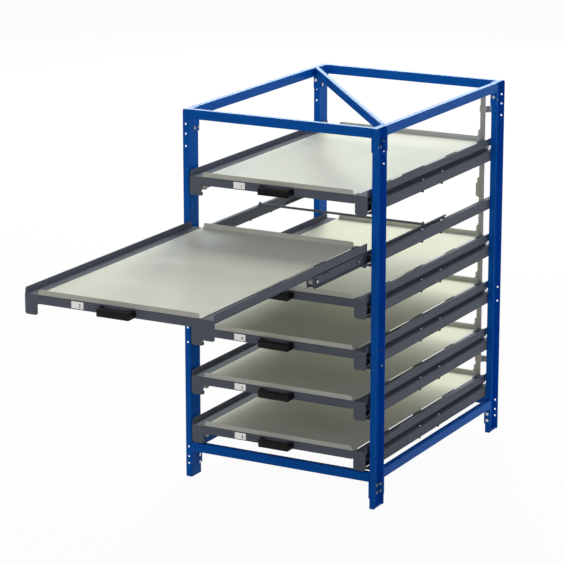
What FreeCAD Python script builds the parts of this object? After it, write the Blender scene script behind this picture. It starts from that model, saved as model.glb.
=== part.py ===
import FreeCAD, Part
import math
import os

from FreeCAD import Vector

# Open workshop rack with six roll-out drawers on telescopic roller slides. Millimetres.
# Origin: centre of the frame's footprint on the floor. X to the right, Y to the back, Z up.

# Overall sizes
FRAME_WIDTH = 1130.0
FRAME_DEPTH = 1550.0
FRAME_HEIGHT = 2000.0

# Drawer levels, counted from the top; a level's height is the top of its front bar
LEVEL_COUNT = 6
LEVEL_PITCH = 270.0
LOWEST_LEVEL = 305.0
OPEN_LEVEL = 2
DRAWER_TRAVEL = 1530.0
MIDDLE_RAIL_SHARE = 0.36

# Sheet and clearances
SHEET = 3.0
BEND = 2.0
ROLLER_CLEARANCE = 0.4
AXLE_CLEARANCE = 0.3
GUIDE_CLEARANCE = 0.4

# Posts: channels that open outwards
POST_WEB = 100.0
POST_FLANGE = 35.0
POST_CORNER = 9.0
END_CAP_SHEET = 4.0
BASE_PLATE_SHEET = 10.0
ANCHOR_HOLE_DIAMETER = 11.0
END_CAP_CORNER = 4.0
FLANGE_HOLE_DIAMETER = 11.0
FLANGE_HOLE_FROM_WEB = 18.0
FOOT_HOLE_HEIGHTS = (75.0, 113.0)
HEAD_HOLE_DEPTHS = (78.0,)
SPARE_FOOT_HOLES = (168.0, 748.0, 828.0)
SPARE_HEAD_HOLES = (130.0, 195.0)
SLOT_PITCH = 36.0
SLOT_SIZE = (8.0, 12.0)
SLOTS_FROM_FLOOR = 220.0
SLOTS_FROM_TOP = 160.0

# Frame rails: rectangular tube with bolting plates welded to the ends
TUBE_HEIGHT = 50.0
TUBE_DEPTH = 35.0
TUBE_CORNER = 5.0
BOTTOM_RAIL_HEIGHT = 144.0
PLATE_SHEET = 5.0
PLATE_EDGE = 2.0
PLATE_CORNER = 8.0
PLATE_BACK_EDGE = 6.0
FOOT_PLATE_BOTTOM = 52.0
HEAD_PLATE_DROP = 125.0
SIDE_HEAD_PLATE_DROP = 130.0
SIDE_PLATE_OVERHANG = 3.0
HEAD_BOLT_DROP = 105.0
HEAD_BOLTS_FROM_FACE = (45.0, 83.0)
FOOT_BOLTS_FROM_FACE = 70.0
FOOT_BOLT_HEIGHTS = (67.0, 107.0)
BRACE_WIDTH = 25.0
BRACE_END_FROM_POST = 27.0

# Frame bolts
BOLT_DIAMETER = 10.0
BOLT_HEAD_ACROSS = 17.0
BOLT_HEAD_HEIGHT = 6.5
NUT_HEIGHT = 8.0
BOLT_STUB = 3.0

# Fixed slide rail: a channel that opens inwards
FIXED_RAIL_TOP = -37.0
FIXED_RAIL_HEIGHT = 56.0
FIXED_RAIL_DEPTH = 30.0
FIXED_RAIL_FRONT_GAP = 5.0
FIXED_RAIL_REAR_GAP = 30.0

# Support roller in a bracket under the front end of each fixed rail
SUPPORT_ROLLER_DIAMETER = 20.0
SUPPORT_ROLLER_WIDTH = 20.0
SUPPORT_ROLLER_FROM_FRONT = 20.0
SUPPORT_AXLE_DIAMETER = 8.0
BRACKET_LENGTH = 30.0
BRACKET_BELOW_AXLE = 10.6
BRACKET_OVER_AXLE = 5.0
BRACKET_CORNER = 6.0

# Middle rail: a shallow channel between the fixed rail and the drawer's runner
MIDDLE_TOP = -27.0
MIDDLE_HEIGHT = 61.0
MIDDLE_SHEET = 4.0
MIDDLE_DEPTH = 16.0
MIDDLE_RAIL_GAP = 2.0
MIDDLE_FRONT_GAP = 18.0
MIDDLE_REAR_GAP = 32.0
TIE_BAR_SIZE = (12.0, 10.0)
TIE_BAR_FROM_REAR = 280.0
TIE_BOLT_DIAMETER = 12.0
TIE_BOLT_HEIGHT = 7.0
GRIP_SLOT_SIZE = (14.0, 5.0)
GRIP_SLOT_PITCH = 20.0
GRIP_SLOT_COUNT = 3
GRIP_SLOT_FROM_FRONT = 100.0
GRIP_SLOT_DROP = 11.0

# Rollers on the middle rail
ROLLER_AXLE_DIAMETER = 16.0
ROLLER_SHOULDER_DIAMETER = 24.0
AXLE_HEAD_HEIGHT = 7.0
AXLE_END_GAP = 1.0
OUTER_ROLLER_WIDTH = 22.0
OUTER_ROLLER_SIDE_GAP = 2.0
OUTER_ROLLERS_FROM_REAR = (23.0, 473.0)
INNER_ROLLER_WIDTH = 24.0
INNER_ROLLER_SIDE_GAP = 4.0
INNER_ROLLERS_FROM_FRONT = (25.0, 475.0)

# Drawer: folded side beams, runners, cross members and front bar
DRAWER_PROUD = 18.0
DRAWER_REAR_GAP = 33.0
RUNNER_TOP = -34.0
RUNNER_HEIGHT = 50.0
RUNNER_DEPTH = 29.0
RUNNER_END_GAP = 4.0
BEAM_WALL_DROP = 92.0
BEAM_FRONT_DROP = 49.0
RUNNER_KEEPER_LENGTH = 520.0
BEAM_WIDTH = 69.0
BEAM_CURB_UP = 28.0
BEAM_CURB_DOWN = 12.0
BEAM_CURB_CORNER = 12.0
RAISED_CURB = 8.0
RAISED_CURB_START = 399.0
RAISED_CURB_LENGTH = 239.0
TIE_PASSAGE_MARGIN = 4.0
TIE_PASSAGE_LEAD = 17.0
END_BRACKET_SHEET = 4.0
END_BRACKET_DROP = 100.0
END_BRACKET_CORNER = 12.0
BAR_SHEET = 2.0
FRONT_BAR_HEIGHT = 45.0
FRONT_BAR_TOP_FLANGE = 48.0
FRONT_BAR_LOWER_FLANGE = 28.0
FRONT_BAR_CHAMFER = 8.0
CROSS_MEMBER_PLACES = (-400.0, 0.0, 400.0)
CROSS_MEMBER_WIDTH = 40.0
CROSS_MEMBER_HEIGHT = 25.0
REAR_BAR_WIDTH = 40.0
REAR_BAR_HEIGHT = 12.0
CATCH_SIZE = (32.0, 52.0, 8.0)
CATCH_FROM_WALL = 6.0

# Tray: one sheet with a lip folded up at the front and at the rear
TRAY_SHEET = 2.0
TRAY_SIDE_GAP = 3.0
LIP_HEIGHT = 26.0
LIP_SIDE_STEP = 6.0
LIP_CORNER = 12.0
LIP_ROOT = 5.0
TRAY_REAR_OVERHANG = 3.0

# Bridge handle
HANDLE_LENGTH = 200.0
HANDLE_SPLAY = 12.0
HANDLE_REACH = 49.0
HANDLE_LEG = 26.0
HANDLE_GRIP = 16.0
HANDLE_TOP = -13.0
HANDLE_FOOT = -40.0
HANDLE_BOTTOM = -48.0
HANDLE_GRIP_TOP = -21.0
HANDLE_CORNER = 16.0
HANDLE_INNER_CORNER = 8.0
HANDLE_EDGE = 6.0

# Interlock bar and its guides at the back right corner
INTERLOCK_WIDTH = 27.0
INTERLOCK_SHEET = 10.0
INTERLOCK_FROM_BACK = 11.0
INTERLOCK_FROM_WEB = 72.0
INTERLOCK_BELOW_LOWEST = 15.0
INTERLOCK_BELOW_TOP = 95.0
HOOK_SHEET = 6.0
HOOK_REACH = 20.0
HOOK_STEP = 8.0
HOOK_UP = 64.0
HOOK_DOWN = 50.0
GUIDE_HEIGHT = 36.0
LOWER_GUIDE_ABOVE_LEVEL = 79.0
UPPER_GUIDE_BELOW_TOP = 185.0
GUIDE_FLANGE = 32.0
GUIDE_BLOCK = 12.0
COLLAR_HEIGHT = 9.0
COLLAR_CLEARANCE = 0.3

# Places that several pieces share, worked out from the sizes above
HALF_WIDTH = FRAME_WIDTH / 2
FRONT = -FRAME_DEPTH / 2
BACK = FRAME_DEPTH / 2
WEB_FACE = HALF_WIDTH - POST_FLANGE
POST_INNER_EDGE = FRONT + POST_WEB
ANCHOR_SPOT = ((WEB_FACE + SHEET + HALF_WIDTH - POST_CORNER) / 2, FRONT + POST_WEB / 2)
FLANGE_HOLE_X = WEB_FACE + FLANGE_HOLE_FROM_WEB
TOP_RAIL_HEIGHT = FRAME_HEIGHT - TUBE_HEIGHT
HEAD_HOLE_HEIGHTS = tuple(FRAME_HEIGHT - depth for depth in HEAD_HOLE_DEPTHS)
SPARE_HEAD_HEIGHTS = tuple(FRAME_HEIGHT - depth for depth in SPARE_HEAD_HOLES)
HEAD_BOLT_HEIGHT = FRAME_HEIGHT - HEAD_BOLT_DROP
HEAD_BOLT_SPOTS = tuple((FRONT + reach, HEAD_BOLT_HEIGHT) for reach in HEAD_BOLTS_FROM_FACE)
FOOT_BOLT_SPOTS = tuple((FRONT + FOOT_BOLTS_FROM_FACE, height) for height in FOOT_BOLT_HEIGHTS)
LEVELS = tuple(LOWEST_LEVEL + LEVEL_PITCH * step for step in reversed(range(LEVEL_COUNT)))

FIXED_RAIL_BOTTOM = FIXED_RAIL_TOP - FIXED_RAIL_HEIGHT
FIXED_RAIL_LIP = WEB_FACE - FIXED_RAIL_DEPTH
FIXED_RAIL_START = FRONT + FIXED_RAIL_FRONT_GAP
FIXED_RAIL_END = BACK - FIXED_RAIL_REAR_GAP
MIDDLE_BOTTOM = MIDDLE_TOP - MIDDLE_HEIGHT
MIDDLE_TIP = FIXED_RAIL_LIP - MIDDLE_RAIL_GAP
MIDDLE_FACE = MIDDLE_TIP - MIDDLE_DEPTH
MIDDLE_START = FRONT + MIDDLE_FRONT_GAP
MIDDLE_END = BACK - MIDDLE_REAR_GAP
TIE_BAR_Y = MIDDLE_END - TIE_BAR_FROM_REAR
INNER_ROLLER_END = MIDDLE_FACE - INNER_ROLLER_SIDE_GAP
INNER_ROLLER_START = INNER_ROLLER_END - INNER_ROLLER_WIDTH
OUTER_ROLLER_END = WEB_FACE - SHEET - OUTER_ROLLER_SIDE_GAP
OUTER_ROLLER_START = OUTER_ROLLER_END - OUTER_ROLLER_WIDTH
OUTER_ROLLER_Z = FIXED_RAIL_TOP - FIXED_RAIL_HEIGHT / 2
OUTER_ROLLER_DIAMETER = FIXED_RAIL_HEIGHT - 2 * (SHEET + ROLLER_CLEARANCE)
INNER_ROLLER_Z = RUNNER_TOP - RUNNER_HEIGHT / 2
INNER_ROLLER_DIAMETER = RUNNER_HEIGHT - 2 * (SHEET + ROLLER_CLEARANCE)
RUNNER_TIP = INNER_ROLLER_END
RUNNER_FACE = RUNNER_TIP - RUNNER_DEPTH
WALL_FACE = RUNNER_FACE - SHEET
CURB_OUTSIDE = WALL_FACE + BEAM_WIDTH
CURB_INSIDE = CURB_OUTSIDE - SHEET
DRAWER_FRONT = FRONT - DRAWER_PROUD
BEAM_START = DRAWER_FRONT + END_BRACKET_SHEET
DRAWER_REAR = BACK - DRAWER_REAR_GAP
SUPPORT_ROLLER_Z = MIDDLE_BOTTOM - ROLLER_CLEARANCE - SUPPORT_ROLLER_DIAMETER / 2
SUPPORT_ROLLER_Y = FRONT + SUPPORT_ROLLER_FROM_FRONT
INTERLOCK_RIGHT = WEB_FACE - INTERLOCK_FROM_WEB
INTERLOCK_LEFT = INTERLOCK_RIGHT - INTERLOCK_WIDTH
INTERLOCK_REAR = BACK - INTERLOCK_FROM_BACK
INTERLOCK_FRONT = INTERLOCK_REAR - INTERLOCK_SHEET
LOWER_GUIDE_BOTTOM = LEVELS[-1] + LOWER_GUIDE_ABOVE_LEVEL
UPPER_GUIDE_BOTTOM = FRAME_HEIGHT - UPPER_GUIDE_BELOW_TOP

DIRECTIONS = {"x": Vector(1, 0, 0), "y": Vector(0, 1, 0), "z": Vector(0, 0, 1)}
CUT_OVER = 1.0


def in_space(axis, along, pair):
    """A point of a flat section, placed at a distance along the axis that crosses it."""
    first, second = pair
    if axis == "x":
        return Vector(along, first, second)
    if axis == "y":
        return Vector(first, along, second)
    return Vector(first, second, along)


def rounded_face(points, radii):
    """A flat face with straight sides, and an arc at each corner that has a radius."""
    count = len(points)
    corners = []
    for index, corner in enumerate(points):
        to_last = (points[index - 1] - corner).normalize()
        to_next = (points[(index + 1) % count] - corner).normalize()
        if radii[index] == 0:
            corners.append((corner, None, corner))
            continue
        half_angle = to_last.getAngle(to_next) / 2
        reach = radii[index] / math.tan(half_angle)
        depth = radii[index] / math.sin(half_angle) - radii[index]
        middle = corner + (to_last + to_next).normalize() * depth
        corners.append((corner + to_last * reach, middle, corner + to_next * reach))
    edges = []
    for index, (start, middle, end) in enumerate(corners):
        if middle is not None:
            edges.append(Part.Arc(start, middle, end).toShape())
        following = corners[(index + 1) % count][0]
        edges.append(Part.LineSegment(end, following).toShape())
    return Part.Face(Part.Wire(edges))


def prism(axis, start, end, pairs, radii=None):
    """A straight solid whose section is an outline of points with rounded corners."""
    points = [in_space(axis, start, pair) for pair in pairs]
    face = rounded_face(points, radii or [0] * len(pairs))
    return face.extrude(DIRECTIONS[axis] * (end - start))


def rectangle(low, high):
    """The four corners of an upright rectangle, from its low corner round to its high left one."""
    return [low, (high[0], low[1]), high, (low[0], high[1])]


def block(x_range, y_range, z_range):
    """A plain rectangular solid."""
    low = Vector(x_range[0], y_range[0], z_range[0])
    sides = [high - start for start, high in (x_range, y_range, z_range)]
    return Part.makeBox(*sides, low)


def rod(axis, start, end, centre, diameter):
    """A round solid along an axis."""
    base = in_space(axis, start, centre)
    return Part.makeCylinder(diameter / 2, end - start, base, DIRECTIONS[axis])


def hexagon(axis, start, end, centre, across_flats):
    """A six-sided solid along an axis, as on bolt heads and nuts."""
    radius = across_flats / math.sqrt(3)
    angles = [math.radians(60 * step) for step in range(6)]
    pairs = [(centre[0] + radius * math.cos(a), centre[1] + radius * math.sin(a)) for a in angles]
    return prism(axis, start, end, pairs)


def folded(axis, start, end, path, sheet=SHEET, bend=BEND):
    """Folded sheet: the path runs along one face, with the metal to its left and a bend at each turn."""
    steps = [(b[0] - a[0], b[1] - a[1]) for a, b in zip(path, path[1:])]
    lengths = [math.hypot(*step) for step in steps]
    lefts = [(-step[1] / size, step[0] / size) for step, size in zip(steps, lengths)]
    near_radii = [0]
    far_radii = [0]
    far_side = [(path[0][0] + lefts[0][0] * sheet, path[0][1] + lefts[0][1] * sheet)]
    for index in range(1, len(path) - 1):
        before = lefts[index - 1]
        after = lefts[index]
        share = sheet / (1 + before[0] * after[0] + before[1] * after[1])
        far_side.append((path[index][0] + (before[0] + after[0]) * share,
                         path[index][1] + (before[1] + after[1]) * share))
        turns_left = before[0] * after[1] - before[1] * after[0] > 0
        near_radii.append(bend + sheet if turns_left else bend)
        far_radii.append(bend if turns_left else bend + sheet)
    near_radii.append(0)
    far_radii.append(0)
    far_side.append((path[-1][0] + lefts[-1][0] * sheet, path[-1][1] + lefts[-1][1] * sheet))
    return prism(axis, start, end, path + far_side[::-1], near_radii + far_radii[::-1])


def joined(first, *others):
    """Pieces welded into one solid, with no seams left in flat faces."""
    return first.multiFuse(list(others)).removeSplitter()


def without(solid, cutters):
    """A solid with holes or notches taken out."""
    return solid.cut(Part.makeCompound(cutters))


def other_side(shape):
    """The left-hand copy of a right-hand piece."""
    return shape.mirror(Vector(0, 0, 0), DIRECTIONS["x"])


def other_end(shape):
    """The rear copy of a front piece."""
    return shape.mirror(Vector(0, 0, 0), DIRECTIONS["y"])


def four_corners(shape):
    """A front right piece and its copies at the other three corners."""
    pair = [shape, other_side(shape)]
    return pair + [other_end(piece) for piece in pair]


def moved(shape, forward, up):
    """A copy of a piece, carried forward and up."""
    return shape.translated(Vector(0, -forward, up))


def save(name, shapes):
    """Write one named piece, or a group of like pieces."""
    solids = [solid for shape in shapes for solid in shape.Solids]
    Part.makeCompound(solids).exportStep(f"parts/{name}.step")


def post():
    """The front right post: a folded channel with rounded ends, flange holes and web slots."""
    path = [(HALF_WIDTH, POST_INNER_EDGE), (WEB_FACE, POST_INNER_EDGE),
            (WEB_FACE, FRONT), (HALF_WIDTH, FRONT)]
    channel = folded("z", 0, FRAME_HEIGHT, path)
    ends = rectangle((WEB_FACE, 0), (HALF_WIDTH, FRAME_HEIGHT))
    channel = channel.common(prism("y", FRONT, POST_INNER_EDGE, ends, [0, POST_CORNER, POST_CORNER, 0]))
    cutters = []
    for height in FOOT_HOLE_HEIGHTS + SPARE_FOOT_HOLES + SPARE_HEAD_HEIGHTS + HEAD_HOLE_HEIGHTS:
        spot = (FLANGE_HOLE_X, height)
        cutters.append(rod("y", FRONT - CUT_OVER, POST_INNER_EDGE + CUT_OVER, spot, FLANGE_HOLE_DIAMETER))
    through_web = (WEB_FACE - CUT_OVER, WEB_FACE + SHEET + CUT_OVER)
    for spot in HEAD_BOLT_SPOTS + FOOT_BOLT_SPOTS:
        cutters.append(rod("x", *through_web, spot, FLANGE_HOLE_DIAMETER))
    middle = FRONT + POST_WEB / 2
    slot_count = int((FRAME_HEIGHT - SLOTS_FROM_TOP - SLOTS_FROM_FLOOR) / SLOT_PITCH) + 1
    for step in range(slot_count):
        height = SLOTS_FROM_FLOOR + step * SLOT_PITCH
        across = (middle - SLOT_SIZE[0] / 2, middle + SLOT_SIZE[0] / 2)
        cutters.append(block(through_web, across, (height, height + SLOT_SIZE[1])))
    return without(channel, cutters)


def post_end_cap(bottom, sheet):
    """The plate welded inside the front right post at its foot or head."""
    inside = (FRONT + SHEET, POST_INNER_EDGE - SHEET)
    outside = HALF_WIDTH - POST_CORNER
    corners = rectangle((WEB_FACE + SHEET, inside[0]), (outside, inside[1]))
    return prism("z", bottom, bottom + sheet, corners, [END_CAP_CORNER, 0, 0, END_CAP_CORNER])


def base_plate():
    """The thick plate in the foot of the front right post, with a hole for a floor anchor."""
    plate = post_end_cap(0, BASE_PLATE_SHEET)
    return plate.cut(rod("z", -CUT_OVER, BASE_PLATE_SHEET + CUT_OVER, ANCHOR_SPOT, ANCHOR_HOLE_DIAMETER))


def tube(axis, start, end, low, high):
    """Rectangular tube between two corners of its section."""
    inside = rectangle((low[0] + SHEET, low[1] + SHEET), (high[0] - SHEET, high[1] - SHEET))
    shell = prism(axis, start, end, rectangle(low, high), [TUBE_CORNER] * 4)
    return shell.cut(prism(axis, start, end, inside, [TUBE_CORNER - SHEET] * 4))


def end_plate(axis, start, across, heights, bolt_spots):
    """A bolting plate with rounded lower corners and its bolt holes."""
    corners = rectangle((across[0], heights[0]), (across[1], heights[1]))
    plate = prism(axis, start, start + PLATE_SHEET, corners, [PLATE_CORNER, PLATE_CORNER, 0, 0])
    reach = (start - CUT_OVER, start + PLATE_SHEET + CUT_OVER)
    return without(plate, [rod(axis, *reach, spot, FLANGE_HOLE_DIAMETER) for spot in bolt_spots])


def front_rail(bottom, plate_bottom, bolt_spots):
    """A rail across the front, between the webs of the two front posts."""
    top = bottom + TUBE_HEIGHT
    plate_start = WEB_FACE - PLATE_SHEET
    across = (FRONT + PLATE_EDGE, POST_INNER_EDGE - PLATE_BACK_EDGE)
    plate = end_plate("x", plate_start, across, (plate_bottom, top), bolt_spots)
    bar = tube("x", -plate_start, plate_start, (FRONT, bottom), (FRONT + TUBE_DEPTH, top))
    return joined(bar, plate, other_side(plate))


def side_rail(bottom, plate_bottom, bolt_heights):
    """A rail along the right side, between the flanges of the two right-hand posts."""
    top = bottom + TUBE_HEIGHT
    across = (WEB_FACE - SIDE_PLATE_OVERHANG, HALF_WIDTH)
    bolt_spots = [(FLANGE_HOLE_X, height) for height in bolt_heights]
    plate = end_plate("y", POST_INNER_EDGE, across, (plate_bottom, top), bolt_spots)
    tube_start = POST_INNER_EDGE + PLATE_SHEET
    bar = tube("y", tube_start, -tube_start, (HALF_WIDTH - TUBE_DEPTH, bottom), (HALF_WIDTH, top))
    return joined(bar, plate, other_end(plate))


def top_brace():
    """The diagonal brace, mitred to the top side rails' inner faces at the back left and the front right."""
    end_x = HALF_WIDTH - TUBE_DEPTH
    end_y = POST_INNER_EDGE + BRACE_END_FROM_POST
    length = 2 * math.hypot(end_x, end_y)
    angle = math.degrees(math.atan2(end_y, end_x))
    half = BRACE_WIDTH / 2
    bar = tube("x", -length, length, (-half, TOP_RAIL_HEIGHT), (half, FRAME_HEIGHT))
    bar.rotate(Vector(0, 0, 0), DIRECTIONS["z"], angle)
    return bar.common(block((-end_x, end_x), (FRONT, BACK), (TOP_RAIL_HEIGHT, FRAME_HEIGHT)))


def bolt(axis, head_face, nut_face, spot):
    """A bolt with its nut; its head sits on one face and the nut on the other."""
    away = 1 if nut_face > head_face else -1
    head = sorted((head_face - away * BOLT_HEAD_HEIGHT, head_face))
    nut = sorted((nut_face, nut_face + away * NUT_HEIGHT))
    shank = sorted((head_face, nut_face + away * (NUT_HEIGHT + BOLT_STUB)))
    pieces = [hexagon(axis, *span, spot, BOLT_HEAD_ACROSS) for span in (head, nut)]
    return joined(rod(axis, *shank, spot, BOLT_DIAMETER), *pieces)


def corner_bolts():
    """The bolts of the front right corner, at its foot and its head."""
    web_bolts = [
        bolt("x", WEB_FACE - PLATE_SHEET, WEB_FACE + SHEET, spot)
        for spot in HEAD_BOLT_SPOTS + FOOT_BOLT_SPOTS
    ]
    flange_bolts = [
        bolt("y", POST_INNER_EDGE + PLATE_SHEET, POST_INNER_EDGE - SHEET, (FLANGE_HOLE_X, height))
        for height in FOOT_HOLE_HEIGHTS + HEAD_HOLE_HEIGHTS
    ]
    return web_bolts + flange_bolts


def roller_bracket():
    """The bracket under the front end of the right fixed rail, with the support roller's axle in its ear."""
    ear = MIDDLE_FACE + MIDDLE_SHEET
    along = (FIXED_RAIL_START, FIXED_RAIL_START + BRACKET_LENGTH)
    shelf_bottom = FIXED_RAIL_BOTTOM - SHEET
    ear_bottom = min(shelf_bottom, SUPPORT_ROLLER_Z - BRACKET_BELOW_AXLE)
    ear_top = max(FIXED_RAIL_BOTTOM, SUPPORT_ROLLER_Z + BRACKET_OVER_AXLE)
    shelf = block((ear, WEB_FACE - SHEET - BEND), along, (shelf_bottom, FIXED_RAIL_BOTTOM))
    ear_side = rectangle((along[0], ear_bottom), (along[1], ear_top))
    ear_plate = prism("x", ear, ear + SHEET, ear_side, [BRACKET_CORNER, BRACKET_CORNER, 0, 0])
    axle_start = ear - SUPPORT_ROLLER_WIDTH - 2 * AXLE_END_GAP
    axle = rod("x", axle_start, ear, (SUPPORT_ROLLER_Y, SUPPORT_ROLLER_Z), SUPPORT_AXLE_DIAMETER)
    return joined(shelf, ear_plate, axle)


def fixed_rail():
    """The right fixed slide rail at level zero, with the roller bracket welded under its front end."""
    path = [(FIXED_RAIL_LIP, FIXED_RAIL_BOTTOM), (WEB_FACE, FIXED_RAIL_BOTTOM),
            (WEB_FACE, FIXED_RAIL_TOP), (FIXED_RAIL_LIP, FIXED_RAIL_TOP)]
    rail = folded("y", FIXED_RAIL_START, FIXED_RAIL_END, path)
    return joined(rail, roller_bracket())


def roller(start, width, spot, diameter, axle_diameter):
    """A nylon roller with a bore that runs on its axle."""
    wheel = rod("x", start, start + width, spot, diameter)
    return wheel.cut(rod("x", start, start + width, spot, axle_diameter + 2 * AXLE_CLEARANCE))


def support_roller():
    """The small roller that carries the right middle rail at the front of the frame."""
    start = MIDDLE_FACE + MIDDLE_SHEET - AXLE_END_GAP - SUPPORT_ROLLER_WIDTH
    spot = (SUPPORT_ROLLER_Y, SUPPORT_ROLLER_Z)
    return roller(start, SUPPORT_ROLLER_WIDTH, spot, SUPPORT_ROLLER_DIAMETER, SUPPORT_AXLE_DIAMETER)


def outer_roller_spots():
    """Where the rollers sit that run in the fixed rail, on the closed middle rail."""
    return [(MIDDLE_END - reach, OUTER_ROLLER_Z) for reach in OUTER_ROLLERS_FROM_REAR]


def inner_roller_spots():
    """Where the rollers sit that carry the drawer's runner, on the closed middle rail."""
    return [(MIDDLE_START + reach, INNER_ROLLER_Z) for reach in INNER_ROLLERS_FROM_FRONT]


def middle_rail():
    """The right middle rail with its stub axles."""
    path = [(MIDDLE_TIP, MIDDLE_TOP), (MIDDLE_FACE, MIDDLE_TOP),
            (MIDDLE_FACE, MIDDLE_BOTTOM), (MIDDLE_TIP, MIDDLE_BOTTOM)]
    rail = folded("y", MIDDLE_START, MIDDLE_END, path, MIDDLE_SHEET)
    outside = MIDDLE_FACE + MIDDLE_SHEET
    slots = []
    for step in range(GRIP_SLOT_COUNT):
        start = MIDDLE_START + GRIP_SLOT_FROM_FRONT + step * GRIP_SLOT_PITCH
        top = MIDDLE_TOP - GRIP_SLOT_DROP
        slots.append(block((MIDDLE_FACE - CUT_OVER, outside + CUT_OVER),
                           (start, start + GRIP_SLOT_SIZE[0]), (top - GRIP_SLOT_SIZE[1], top)))
    axles = []
    for spot in outer_roller_spots():
        axles.append(rod("x", outside, OUTER_ROLLER_START - AXLE_CLEARANCE, spot, ROLLER_SHOULDER_DIAMETER))
        axles.append(rod("x", outside, OUTER_ROLLER_END, spot, ROLLER_AXLE_DIAMETER))
    for spot in inner_roller_spots():
        axles.append(rod("x", INNER_ROLLER_END + AXLE_CLEARANCE, MIDDLE_FACE, spot, ROLLER_SHOULDER_DIAMETER))
        axles.append(rod("x", INNER_ROLLER_START, outside, spot, ROLLER_AXLE_DIAMETER))
        axles.append(hexagon("x", outside, outside + AXLE_HEAD_HEIGHT, spot, ROLLER_SHOULDER_DIAMETER))
    return joined(without(rail, slots), *axles)


def tie_bar():
    """The bar across the tops of both middle rails, with its two bolt heads."""
    half = TIE_BAR_SIZE[0] / 2
    top = MIDDLE_TOP + TIE_BAR_SIZE[1]
    bar = block((-MIDDLE_TIP, MIDDLE_TIP), (TIE_BAR_Y - half, TIE_BAR_Y + half), (MIDDLE_TOP, top))
    bolt_x = MIDDLE_TIP - MIDDLE_DEPTH / 2
    head = rod("z", top, top + TIE_BOLT_HEIGHT, (bolt_x, TIE_BAR_Y), TIE_BOLT_DIAMETER)
    return joined(bar, head, other_side(head))


def middle_rollers():
    """The four rollers of the right middle rail."""
    outer = [
        roller(OUTER_ROLLER_START, OUTER_ROLLER_WIDTH, spot, OUTER_ROLLER_DIAMETER, ROLLER_AXLE_DIAMETER)
        for spot in outer_roller_spots()
    ]
    inner = [
        roller(INNER_ROLLER_START, INNER_ROLLER_WIDTH, spot, INNER_ROLLER_DIAMETER, ROLLER_AXLE_DIAMETER)
        for spot in inner_roller_spots()
    ]
    return outer + inner


def front_relief():
    """The space below the front of the right beam and runner, where neither needs its full depth."""
    bottom = min(-BEAM_WALL_DROP, RUNNER_TOP - RUNNER_HEIGHT)
    return block((WALL_FACE - CUT_OVER, RUNNER_TIP + CUT_OVER),
                 (BEAM_START - CUT_OVER, DRAWER_REAR - RUNNER_KEEPER_LENGTH),
                 (bottom - CUT_OVER, -BEAM_FRONT_DROP))


def beam_curb(has_rise):
    """The upright curb along the outside of the right beam, plain or with a raised part."""
    outline = [(BEAM_START, BEAM_CURB_UP), (BEAM_START, -BEAM_CURB_DOWN),
               (DRAWER_REAR, -BEAM_CURB_DOWN), (DRAWER_REAR, BEAM_CURB_UP)]
    if has_rise:
        start = BEAM_START + RAISED_CURB_START
        end = start + RAISED_CURB_LENGTH
        top = BEAM_CURB_UP + RAISED_CURB
        outline += [(end + RAISED_CURB, BEAM_CURB_UP), (end, top),
                    (start, top), (start - RAISED_CURB, BEAM_CURB_UP)]
    corners = [BEAM_CURB_CORNER] + [0] * (len(outline) - 1)
    return prism("x", CURB_INSIDE, CURB_OUTSIDE, outline, corners)


def side_beam(has_rise):
    """The right drawer beam: a folded flange and wall, the curb along its outside, and the end bracket."""
    path = [(CURB_INSIDE, 0), (WALL_FACE, 0), (WALL_FACE, -BEAM_WALL_DROP)]
    angle = folded("y", BEAM_START, DRAWER_REAR, path)
    passage_start = TIE_BAR_Y - TIE_BAR_SIZE[0] / 2 - TIE_PASSAGE_LEAD
    passage = block((WALL_FACE - CUT_OVER, RUNNER_FACE + CUT_OVER), (passage_start, DRAWER_REAR + CUT_OVER),
                    (MIDDLE_TOP - TIE_PASSAGE_MARGIN, -SHEET))
    bracket_side = rectangle((WALL_FACE, -END_BRACKET_DROP), (CURB_OUTSIDE, 0))
    corners = [END_BRACKET_CORNER, END_BRACKET_CORNER, 0, 0]
    bracket = prism("y", DRAWER_FRONT, BEAM_START, bracket_side, corners)
    return joined(without(angle, [passage, front_relief()]), beam_curb(has_rise), bracket)


def runner():
    """The rail on the right beam's wall for the middle rail's rollers: an angle that ends in a channel."""
    bottom = RUNNER_TOP - RUNNER_HEIGHT
    path = [(RUNNER_TIP, RUNNER_TOP), (RUNNER_FACE, RUNNER_TOP), (RUNNER_FACE, bottom), (RUNNER_TIP, bottom)]
    channel = folded("y", BEAM_START + RUNNER_END_GAP, DRAWER_REAR - RUNNER_END_GAP, path)
    return without(channel, [front_relief()])


def interlock_catch():
    """The block at the drawer's right rear corner that faces the interlock hook."""
    start = WALL_FACE + CATCH_FROM_WALL
    width, length, height = CATCH_SIZE
    return block((start, start + width), (DRAWER_REAR - length, DRAWER_REAR), (0, height))


def front_bar():
    """The folded bar across the drawer's front, with its lower corners cut back."""
    path = [(DRAWER_FRONT + FRONT_BAR_TOP_FLANGE, 0), (DRAWER_FRONT, 0), (DRAWER_FRONT, -FRONT_BAR_HEIGHT),
            (DRAWER_FRONT + FRONT_BAR_LOWER_FLANGE, -FRONT_BAR_HEIGHT)]
    bar = folded("x", -WALL_FACE, WALL_FACE, path, BAR_SHEET)
    corner = [(WALL_FACE, -FRONT_BAR_HEIGHT), (WALL_FACE, FRONT_BAR_CHAMFER - FRONT_BAR_HEIGHT),
              (WALL_FACE - FRONT_BAR_CHAMFER, -FRONT_BAR_HEIGHT)]
    cutter = prism("y", DRAWER_FRONT, DRAWER_FRONT + FRONT_BAR_LOWER_FLANGE, corner)
    return without(bar, [cutter, other_side(cutter)])


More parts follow.
